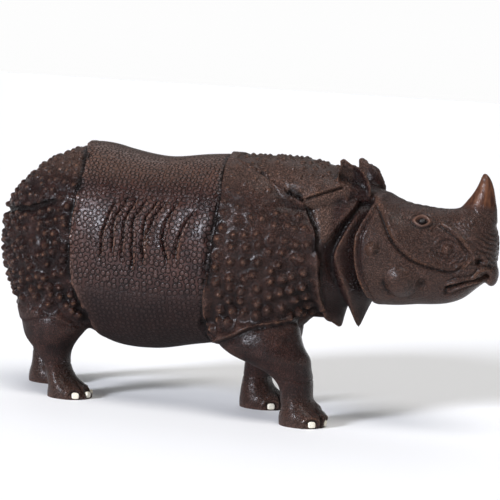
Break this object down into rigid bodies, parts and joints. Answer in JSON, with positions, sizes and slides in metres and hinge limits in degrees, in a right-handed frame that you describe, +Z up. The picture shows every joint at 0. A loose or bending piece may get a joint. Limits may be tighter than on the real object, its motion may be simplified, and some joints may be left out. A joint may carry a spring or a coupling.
{
  "type": "rhinoceros figurine",
  "caption": "Carved dark hardwood figurine of a walking Indian rhinoceros, knobbed armour plates on rump and shoulders, pleated neck folds, upright nose horn and pale inlaid toenails.",
  "frame": {"origin": "on the ground under the middle of the figurine's bounding box, the soles at Z = 0", "axes": "+X towards the head and horn, +Y towards the animal's left side, +Z up"},
  "size_m": [0.4423, 0.1331, 0.2224],
  "materials": {
    "rhinoceros_body": "waxed, satin",
    "toenail_front_right_outer": "polished, satin",
    "toenail_front_right_middle": "polished, satin",
    "toenail_front_right_inner": "polished, satin",
    "toenail_front_left_outer": "polished, satin",
    "toenail_front_left_middle": "polished, satin",
    "toenail_front_left_inner": "polished, satin",
    "toenail_hind_right_outer": "polished, satin",
    "toenail_hind_right_middle": "polished, satin",
    "toenail_hind_right_inner": "polished, satin",
    "toenail_hind_left_outer": "polished, satin",
    "toenail_hind_left_middle": "polished, satin",
    "toenail_hind_left_inner": "polished, satin"
  },
  "bodies": {
    "root": {"rhinoceros_body": "rhinoceros_body", "toenail_front_right_outer": "toenail_front_right_outer", "toenail_front_right_middle": "toenail_front_right_middle", "toenail_front_right_inner": "toenail_front_right_inner", "toenail_front_left_outer": "toenail_front_left_outer", "toenail_front_left_middle": "toenail_front_left_middle", "toenail_front_left_inner": "toenail_front_left_inner", "toenail_hind_right_outer": "toenail_hind_right_outer", "toenail_hind_right_middle": "toenail_hind_right_middle", "toenail_hind_right_inner": "toenail_hind_right_inner", "toenail_hind_left_outer": "toenail_hind_left_outer", "toenail_hind_left_middle": "toenail_hind_left_middle", "toenail_hind_left_inner": "toenail_hind_left_inner"}
  },
  "joints": []
}
